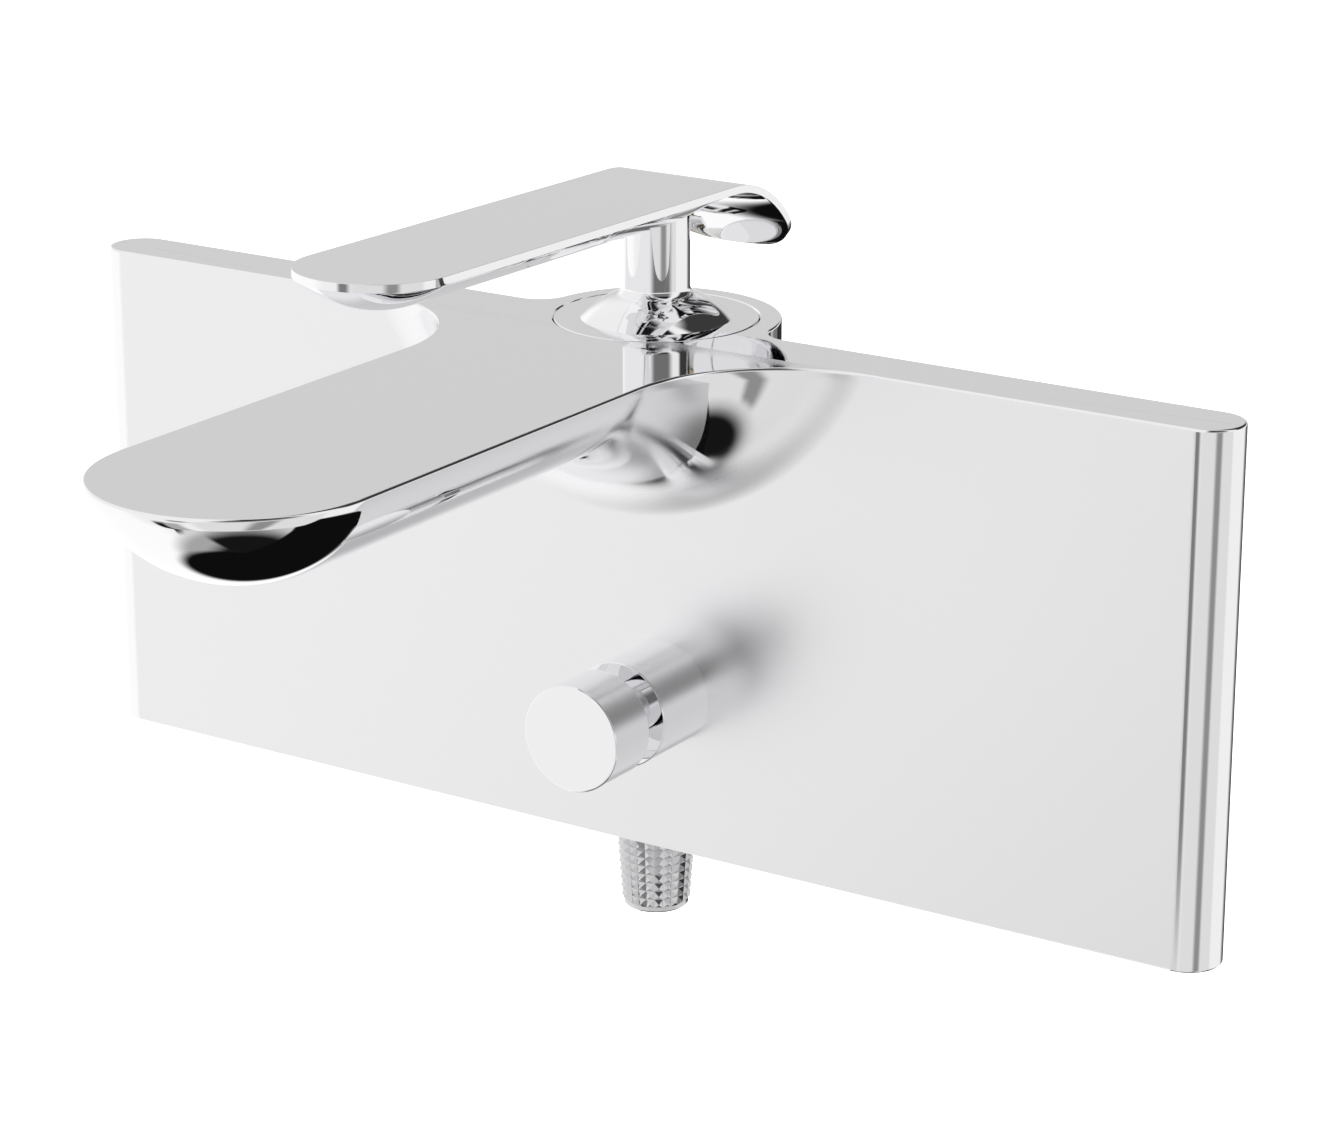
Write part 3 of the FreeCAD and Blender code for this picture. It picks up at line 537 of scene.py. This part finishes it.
def flat_lever():
    bm = round_nose(lever_half, LEVER_RIM, LEVER_DEPTH, 32, 64)
    bmesh.ops.translate(bm, vec=(0, NOSE_Y, 0), verts=bm.verts)
    place, half, belly = NOSE_Y, lever_half, LEVER_DEPTH - LEVER_RIM
    for new_place, new_half, new_belly in lever_rows():
        next_row(bm, place, new_place, new_half / half, new_belly / belly, LEVER_RIM)
        place, half, belly = new_place, new_half, new_belly
    close_end(bm, place)
    cleaned(bm)
    top_line = [e for e in edges_at(bm, lambda p: abs(p.z) < TINY) if e.calc_face_angle(0) > 1]
    rounded(bm, top_line, LEVER_TOP_ROUND)
    foot_line = [e for e in edges_at(bm, lambda p: abs(p.z + LEVER_RIM) < TINY)
                 if e.calc_face_angle(0) > math.radians(20)]
    rounded(bm, foot_line, LEVER_FOOT_ROUND)
    return bm, len(top_line), len(foot_line)


lever_bm, tops, feet = flat_lever()
print("lever top edges", tops, "rim edges", feet)

# %% [markdown]
# To curl the tail, every row behind the start of the curl is moved back to that start and then
# turned about the axis of the curl, by the angle that its own length covers on the circle.

# %% Lever, curled and set on its post


def curl(bm):
    behind = {}
    for vert in bm.verts:
        if vert.co.y > TAIL_START:
            behind.setdefault(round(vert.co.y, 7), []).append(vert)
    for place, row in behind.items():
        beyond = place - TAIL_START
        bmesh.ops.translate(bm, vec=(0, -beyond, 0), verts=row)
        bmesh.ops.rotate(bm, cent=(0, TAIL_START, -TAIL_R), verts=row,
                         matrix=Matrix.Rotation(-beyond / TAIL_R, 3, "X"))
    return bm


curl(lever_bm)
bmesh.ops.rotate(lever_bm, cent=(0, 0, 0), matrix=Matrix.Rotation(-LEVER_RISE, 3, "X"),
                 verts=lever_bm.verts)
bmesh.ops.translate(lever_bm, vec=(0, FRONT, LEVER_TOP), verts=lever_bm.verts)
cleaned(lever_bm)
lever = polish(as_object(lever_bm, "chrome_lever"), 28.0)
install(lever, "lever", "chrome", "lever_blade")

# %% [markdown]
# The dome is a piece of a hollow ball. An arc is spun about the ball's own axis, which leans
# a little forward, so that the raised lever still covers the hole in the ring. The post runs
# out onto the dome with a small concave foot.

# %% Dome and post
PIVOT_DEPTH = 17.1
PIVOT = Vector((0, BOSS.y, TOP - PIVOT_DEPTH * MM))
DOME_R = 24.2
DOME_WALL = 2.0
DOME_ANGLE = math.radians(56.0)
DOME_LEAN = math.radians(8.0)


def dome_form():
    bm = bmesh.new()
    outer = bm.verts.new((0, 0, DOME_R * MM))
    inner = bm.verts.new((0, 0, (DOME_R - DOME_WALL) * MM))
    tips = []
    for pole in (outer, inner):
        arc = bmesh.ops.spin(bm, geom=[pole], cent=(0, 0, 0), axis=Y, dvec=(0, 0, 0),
                             angle=-DOME_ANGLE, steps=48, use_merge=False, use_duplicate=False)
        tips.append([g for g in arc["geom_last"] if isinstance(g, bmesh.types.BMVert)][0])
    bm.edges.new(tips)
    bmesh.ops.spin(bm, geom=list(bm.verts) + list(bm.edges), cent=(0, 0, 0), axis=Z, dvec=(0, 0, 0),
                   angle=2 * math.pi, steps=128, use_merge=True, use_duplicate=False)
    bmesh.ops.rotate(bm, cent=(0, 0, 0), matrix=Matrix.Rotation(DOME_LEAN, 3, "X"), verts=bm.verts)
    bmesh.ops.translate(bm, vec=PIVOT, verts=bm.verts)
    return cleaned(bm)


dome = polish(as_object(dome_form(), "chrome_dome"), 40.0)
install(dome, "lever", "chrome", "dome_cap")

post_r = (high("lever_post").x - low("lever_post").x) / 2 / MM
post_top = (high("lever_post").z - TOP) / MM
flat_z = -PIVOT_DEPTH + math.sqrt(DOME_R ** 2 - post_r ** 2)
foot_r = post_r + 2.0
foot_z = -PIVOT_DEPTH + math.sqrt(DOME_R ** 2 - foot_r ** 2)
post_bm = turned([(0, post_top), (post_r, post_top), (post_r, flat_z + 0.15), (foot_r, foot_z - 0.02),
                  (foot_r - 0.8, foot_z - 1.2), (0, foot_z - 1.2)],
                 rings=[(post_r, flat_z + 0.15, 1.3)], closed=False)
post = polish(as_object(placed(post_bm, Vector((0, BOSS.y, TOP))), "chrome_post"), 32.0)
install(post, "lever", "chrome", "lever_post")

# %% [markdown]
# The cover ring lies flush in the casting. It is a turned ring with a rounded outer edge and a
# ball shaped inner edge that follows the dome at a small distance.

# %% Cover ring
RING_DEPTH = 5.0
HOLE_R = 16.8
DOME_GAP = 0.3


def ball_radius(depth):
    """Radius of the ring's inner edge at a depth below the top."""
    return math.sqrt((DOME_R + DOME_GAP) ** 2 - (PIVOT_DEPTH - depth) ** 2)


ring_bm = turned([(HOLE_R + 0.15, 0), (ring_mm, 0), (ring_mm, -RING_DEPTH),
                  (ball_radius(RING_DEPTH), -RING_DEPTH), (ball_radius(3.4), -3.4),
                  (ball_radius(1.8), -1.8), (ball_radius(0.6), -0.6)],
                 rings=[(ring_mm, 0, 0.3), (HOLE_R + 0.15, 0, 0.35)])
ring = polish(as_object(placed(ring_bm, Vector((0, BOSS.y, TOP))), "chrome_ring"), 35.0)
install(ring, "mixer_body", "chrome", "cover_ring")

# %% [markdown]
# The diverter's collar and knob are turned about the axis that runs forward from the plate.
# The knob keeps its narrower neck, so the bright gap between knob and collar stays open.

# %% Diverter knob and collar
knob_mm = KNOB_R / MM
knob_end = (FRONT - low("diverter_knob").y) / MM
KNOB_START = 23.9
NECK_R = 6.0
SPINDLE_R = 3.0
NECK_END = 5.5
COLLAR_WALL = 2.2
COLLAR_LID = 2
collar_end = (FRONT - low("diverter_collar").y) / MM
knob_bm = turned([(0, knob_end), (knob_mm, knob_end), (knob_mm, KNOB_START), (NECK_R, KNOB_START),
                  (NECK_R, NECK_END), (SPINDLE_R, NECK_END), (SPINDLE_R, KNOB_START + 5),
                  (0, KNOB_START + 5)],
                 rings=[(knob_mm, knob_end, 0.35), (knob_mm, KNOB_START, 0.3)], closed=False)
knob_place = Vector((KNOB.x, FRONT, KNOB.z))
knob = polish(as_object(placed(knob_bm, knob_place, -Y), "chrome_knob"), 35.0)
install(knob, "diverter", "chrome", "diverter_knob")

collar_bm = turned([(NECK_R + 0.1, collar_end), (knob_mm, collar_end), (knob_mm, 0),
                    (knob_mm - COLLAR_WALL, 0), (knob_mm - COLLAR_WALL, collar_end - COLLAR_LID),
                    (NECK_R + 0.1, collar_end - COLLAR_LID)],
                   rings=[(knob_mm, collar_end, 0.3), (NECK_R + 0.1, collar_end, 0.2)])
collar = polish(as_object(placed(collar_bm, knob_place, -Y), "chrome_collar"), 35.0)
install(collar, "mixer_body", "chrome", "diverter_collar")

# %% [markdown]
# The hose outlet has rows of small square pyramids that grip the hose. A ring of edges is
# pulled down row by row along the taper, and each square face is poked outwards into a
# pyramid. A plain turned core with the thread and the bore lies inside this skin.

# %% Hose outlet with pyramids
OUTLET_COLUMNS = 24
OUTLET_ROWS = 10
OUTLET_R = (high("outlet_nipple").x - low("outlet_nipple").x) / 2
OUTLET_END_R = 8.1 * MM
outlet_bottom = low("outlet_nipple").z
PYRAMID = 0.75 * MM
END_BAND = 1.2 * MM                  # plain band below the last row
outlet_length = BOTTOM - outlet_bottom


def pyramid_skin():
    bm = bmesh.new()
    start_r = OUTLET_R - PYRAMID
    pitch = (outlet_length - END_BAND) / OUTLET_ROWS
    taper = (OUTLET_R - OUTLET_END_R) / outlet_length
    bmesh.ops.create_circle(bm, cap_ends=False, radius=start_r, segments=OUTLET_COLUMNS)
    bmesh.ops.translate(bm, vec=(0, BOSS.y, BOTTOM), verts=bm.verts)
    edges = list(bm.edges)
    radius = start_r
    for row in range(OUTLET_ROWS):
        grown = bmesh.ops.extrude_edge_only(bm, edges=edges)["geom"]
        verts = [g for g in grown if isinstance(g, bmesh.types.BMVert)]
        edges = [g for g in grown if isinstance(g, bmesh.types.BMEdge)]
        smaller = radius - taper * pitch
        bmesh.ops.translate(bm, vec=(0, 0, -pitch), verts=verts)
        bmesh.ops.scale(bm, vec=(smaller / radius, smaller / radius, 1), verts=verts,
                        space=Matrix.Translation((0, -BOSS.y, 0)))
        radius = smaller
    bmesh.ops.recalc_face_normals(bm, faces=bm.faces)
    first = bm.faces[:][0]
    if first.normal.dot(first.calc_center_median() - Vector((0, BOSS.y, BOTTOM))) < 0:
        bmesh.ops.reverse_faces(bm, faces=bm.faces)
    bmesh.ops.poke(bm, faces=bm.faces, offset=PYRAMID, center_mode="MEAN")
    return bm


core_end = OUTLET_END_R / MM
outlet_mm = outlet_length / MM
BORE_R, VALVE_R, OUTLET_THREAD_R, THREAD_TOP = 5.6, 6.6, 8.6, 12
core_bm = turned([(BORE_R, -outlet_mm), (core_end - 0.9, -outlet_mm),
                  (core_end - 0.55, -outlet_mm + 0.35), (core_end - 0.7, -outlet_mm + 1.3),
                  (OUTLET_R / MM - 0.95, 0), (OUTLET_THREAD_R, 0), (OUTLET_THREAD_R, THREAD_TOP),
                  (VALVE_R, THREAD_TOP), (VALVE_R, -outlet_mm + 4), (BORE_R, -outlet_mm + 4)],
                 steps=96)
core = placed(core_bm, Vector((0, BOSS.y, BOTTOM)))
skin = as_object(pyramid_skin(), "skin")
core.from_mesh(skin.data)
bpy.data.objects.remove(skin)
outlet = as_object(core, "chrome_outlet")
outlet.data.shade_flat()
install(outlet, "mixer_body", "nipple_chrome", "outlet_nipple")

# %% [markdown]
# Chrome is a mirror with a very slight unevenness in its gloss. The unevenness comes from a
# noise in object coordinates, so it stays on the metal whatever moves. The flat front of the
# body is satin, which fades into the mirror finish. Brass and steel are duller metals with
# the same kind of noise. Moulded plastic, lapped ceramic and rubber are plain.

# %% Finishes


def plain_material(name, colour, metal, rough):
    material = bpy.data.materials.new(name)
    material.use_nodes = True
    shader = material.node_tree.nodes["Principled BSDF"]
    shader.inputs["Base Color"].default_value = (*colour, 1)
    shader.inputs["Metallic"].default_value = metal
    shader.inputs["Roughness"].default_value = rough
    return material


def vary_roughness(material, lowest, highest, scale):
    nodes, links = material.node_tree.nodes, material.node_tree.links
    place = nodes.new("ShaderNodeTexCoord")
    noise = nodes.new("ShaderNodeTexNoise")
    noise.inputs["Scale"].default_value = scale
    spread = nodes.new("ShaderNodeMapRange")
    spread.inputs["To Min"].default_value = lowest
    spread.inputs["To Max"].default_value = highest
    links.new(place.outputs["Object"], noise.inputs["Vector"])
    links.new(noise.outputs["Fac"], spread.inputs["Value"])
    links.new(spread.outputs["Result"], nodes["Principled BSDF"].inputs["Roughness"])
    return material


SATIN = 0.30
SATIN_FADE = (7 * MM, 0.4 * MM)      # the satin begins and is full this far ahead of the front
SATIN_PAST = 0.03 * MM


def satin_front(material, rough):
    """The front is satin. Towards the spout the satin fades into the mirror finish."""
    nodes, links = material.node_tree.nodes, material.node_tree.links
    shader = nodes["Principled BSDF"]
    mirror = shader.inputs["Roughness"].links[0].from_socket
    place = nodes.new("ShaderNodeTexCoord")
    parts = nodes.new("ShaderNodeSeparateXYZ")
    links.new(place.outputs["Object"], parts.inputs[0])
    near_front = nodes.new("ShaderNodeMapRange")
    near_front.interpolation_type = "SMOOTHSTEP"
    near_front.inputs["From Min"].default_value = FRONT - SATIN_FADE[0]
    near_front.inputs["From Max"].default_value = FRONT - SATIN_FADE[1]
    links.new(parts.outputs["Y"], near_front.inputs["Value"])
    past_front = nodes.new("ShaderNodeMath")
    past_front.operation = "LESS_THAN"
    past_front.inputs[1].default_value = FRONT + SATIN_PAST
    links.new(parts.outputs["Y"], past_front.inputs[0])
    share = nodes.new("ShaderNodeMath")
    share.operation = "MULTIPLY"
    links.new(near_front.outputs["Result"], share.inputs[0])
    links.new(past_front.outputs[0], share.inputs[1])
    blend = nodes.new("ShaderNodeMapRange")
    blend.inputs["To Max"].default_value = rough
    links.new(share.outputs[0], blend.inputs["Value"])
    links.new(mirror, blend.inputs["To Min"])
    links.new(blend.outputs["Result"], shader.inputs["Roughness"])
    return material


def uneven_metal(name, colour, gloss, scale):
    return vary_roughness(plain_material(name, colour, 1, gloss[0]), gloss[0], gloss[1], scale)


finishes = {
    "chrome": uneven_metal("chrome", (0.90, 0.90, 0.91), (0.02, 0.05), 60),
    "nipple_chrome": uneven_metal("outlet_chrome", (0.64, 0.64, 0.65), (0.06, 0.12), 90),
    "brass": uneven_metal("machined_brass", (0.75, 0.58, 0.30), (0.2, 0.32), 300),
    "stem_brass": uneven_metal("stem_brass", (0.72, 0.56, 0.29), (0.2, 0.32), 300),
    "steel": uneven_metal("stainless_steel", (0.60, 0.60, 0.62), (0.2, 0.3), 300),
    "ceramic": plain_material("lapped_ceramic", (0.92, 0.92, 0.89), 0, 0.12),
    "cartridge_plastic": plain_material("moulded_plastic", (0.76, 0.76, 0.74), 0, 0.42),
    "slide_plastic": plain_material("slide_plastic", (0.10, 0.10, 0.11), 0, 0.4),
    "rubber": plain_material("moulded_rubber", (0.03, 0.03, 0.03), 0, 0.7),
}
body_chrome = satin_front(uneven_metal("body_chrome", (0.90, 0.90, 0.91), (0.02, 0.05), 60), SATIN)

# %% [markdown]
# Each node of the engineering model takes the finish that its record names. The pieces made
# here replace some of those nodes, so they are dressed one by one.

# %% Give every piece its finish


def dress(piece, finish):
    piece.data.materials.clear()
    piece.data.materials.append(finish)


for entry in frame["record"]["subparts"]:
    dress(frame["nodes"][entry["node"]], finishes[entry["material_slot"]])
for piece in (lever, dome, post, ring, knob, collar):
    dress(piece, finishes["chrome"])
dress(outlet, finishes["nipple_chrome"])
dress(casting, body_chrome)
print("finishes", sorted(finishes))

# %% [markdown]
# The studio is a bright tent round the mixer. A mirror shows nothing but its surroundings, so
# the tent's panels are laid out by compass direction: heading 0 is straight out from the
# plate, positive headings are to the right, and rise is the angle above the horizon. Each
# panel is a soft edged patch with one tone. The floor is a plain pale sheet far below, which
# the metal doesn't reflect, so the panels below the horizon stay visible in it.

# %% Tent panels
METAL = 0.9                          # share of the light that the chrome gives back
ALL = (-300, -299, 300, 301)
PANELS = [
    # heading: fade in from, to, fade out from, to; rise: the same; slant; tone seen in the metal
    ("base", ALL, (-100, -99, 95, 96), 0, 0.935),
    ("left_glow", (-170, -150, -60, -36), (-75, -60, 14, 28), 0, 0.985),
    ("upper_front", (-120, -95, -5, 20), (0, 12, 95, 96), 0, 0.93),
    ("top_left_paper", (-200, -199, -138, -120), (-9, -3, 95, 96), 0, 0.80),
    ("right_wing", (-4, 8, 100, 108), (-100, -99, -8, 4), 0, 0.86),
    ("low_gap", (-20, -12, -6, 4), (-25, -21, -11, -6), 0, 0.48),
    ("low_left_grey", (-38, -34, -16, -6), (-66, -58, -34, -26), 0.12, 0.66),
    ("right_gap", (38, 50, 58, 68), (-64, -58, -12, -4), 0.15, 0.55),
    ("upper_right", (8, 30, 72, 96), (0, 10, 95, 96), 0, 0.44),
    ("upper_right_dark", (25, 42, 80, 98), (34, 46, 95, 96), 0, 0.10),
    ("upper_back", (112, 126, 300, 301), (4, 14, 62, 80), 0, 0.22),
    ("upper_back_left", (-300, -299, -170, -157), (8, 18, 62, 80), 0, 0.22),
    ("low_dim", ALL, (-100, -99, -70, -60), 0, 0.64),
    ("nadir_left", ALL, (-100, -99, -84, -74), 0, 0.10),
    ("nadir_right", (-20, -8, 108, 110), (-100, -99, -74, -66), 0, 0.08),
    ("wedge", (-38, -35, -30, -25), (-64, -60, -40, -24), 0.30, 0.05),
    ("behind_right", (103, 107, 300, 301), (-100, -99, -40, -35), 0, 0.05),
    ("behind_left", (-900, -899, -152, -134), (-100, -99, -44, -37), -2.7, 0.05),
    ("side_back", (158, 172, 300, 301), (-34, -28, -8, 0), 0, 0.45),
    ("side_back_left", (-300, -299, -162, -148), (-34, -28, -8, 0), 0, 0.18),
]

world = bpy.data.worlds.new("tent")
bpy.context.scene.world = world
world.use_nodes = True
tent = world.node_tree


def math_node(kind, first, second=None):
    node = tent.nodes.new("ShaderNodeMath")
    node.operation = kind
    for socket, value in zip(node.inputs, (first, second)):
        if isinstance(value, (int, float)):
            socket.default_value = value
        elif value is not None:
            tent.links.new(value, socket)
    return node.outputs[0]


def fade(value, start, end):
    node = tent.nodes.new("ShaderNodeMapRange")
    node.interpolation_type = "SMOOTHSTEP"
    node.inputs["From Min"].default_value = start
    node.inputs["From Max"].default_value = end
    tent.links.new(value, node.inputs["Value"])
    return node.outputs["Result"]


def strip(value, limits):
    rising = fade(value, limits[0], limits[1])
    falling = math_node("SUBTRACT", 1, fade(value, limits[2], limits[3]))
    return math_node("MULTIPLY", rising, falling)


def light_of(tone):
    """Screen tone to linear light, by the usual screen curve."""
    return ((tone + 0.055) / 1.055) ** 2.4


coordinates = tent.nodes.new("ShaderNodeTexCoord")
split = tent.nodes.new("ShaderNodeSeparateXYZ")
tent.links.new(coordinates.outputs["Generated"], split.inputs[0])
outward = math_node("MULTIPLY", split.outputs["Y"], -1)
heading = math_node("MULTIPLY", math_node("ARCTAN2", split.outputs["X"], outward), 180 / math.pi)
rise = math_node("MULTIPLY", math_node("ARCSINE", split.outputs["Z"]), 180 / math.pi)

SLANT_RISE = 45                      # a slanted panel keeps its headings this far below the horizon
light = 1.0
for name, headings, rises, slant, tone in PANELS:
    lean = math_node("MULTIPLY", math_node("ADD", rise, SLANT_RISE), slant)
    leaning = math_node("SUBTRACT", heading, lean)
    mask = math_node("MULTIPLY", strip(leaning, headings), strip(rise, rises))
    kept = math_node("MULTIPLY", light, math_node("SUBTRACT", 1, mask))
    light = math_node("ADD", kept, math_node("MULTIPLY", mask, light_of(tone) / METAL))

# Seen directly, the tent is plain white.
seen_directly = tent.nodes.new("ShaderNodeLightPath").outputs["Is Camera Ray"]
kept = math_node("MULTIPLY", light, math_node("SUBTRACT", 1, seen_directly))
light = math_node("ADD", kept, seen_directly)
tent.links.new(light, tent.nodes["Background"].inputs["Color"])
bpy.context.scene.view_settings.view_transform = "Standard"
print("tent panels", len(PANELS))

# %% [markdown]
# The floor is one large pale sheet well below the mixer, which hangs on a wall. It gives off
# white light, so that it meets the white background without a line, and the metal doesn't
# mirror it.

# %% Floor
FLOOR_DROP = 0.5
FLOOR_SIZE = 8
floor_bm = bmesh.new()
bmesh.ops.create_grid(floor_bm, x_segments=1, y_segments=1, size=FLOOR_SIZE)
bmesh.ops.translate(floor_bm, vec=(0, 0, BOTTOM - FLOOR_DROP), verts=floor_bm.verts)
floor = as_object(floor_bm, "floor")
floor.visible_glossy = False
floor_finish = plain_material("pale_floor", (0.95, 0.95, 0.95), 0, 0.9)
floor_shader = floor_finish.node_tree.nodes["Principled BSDF"]
floor_shader.inputs["Emission Color"].default_value = (1, 1, 1, 1)
floor_shader.inputs["Emission Strength"].default_value = 1
floor.data.materials.append(floor_finish)

# %% [markdown]
# The camera stands to the right of the mixer and a little above it, with a long lens. Its right
# and up axes give its aim, and the third axis is their cross product.

# %% Camera
CAMERA_PLACE = (0.4796, -0.7851, 0.2833)
camera_data = bpy.data.cameras.new("camera")
camera_data.lens = 109.19
camera_data.sensor_width = 36
camera_data.clip_end = 50
camera = bpy.data.objects.new("camera", camera_data)
right = Vector((0.8370, 0.5473, 0))
up = Vector((-0.1681, 0.2571, 0.9516))
back = right.cross(up)
camera.matrix_world = Matrix.Translation(CAMERA_PLACE) @ \
    Matrix((right, up, back)).transposed().to_4x4()
bpy.context.scene.collection.objects.link(camera)
bpy.context.scene.camera = camera
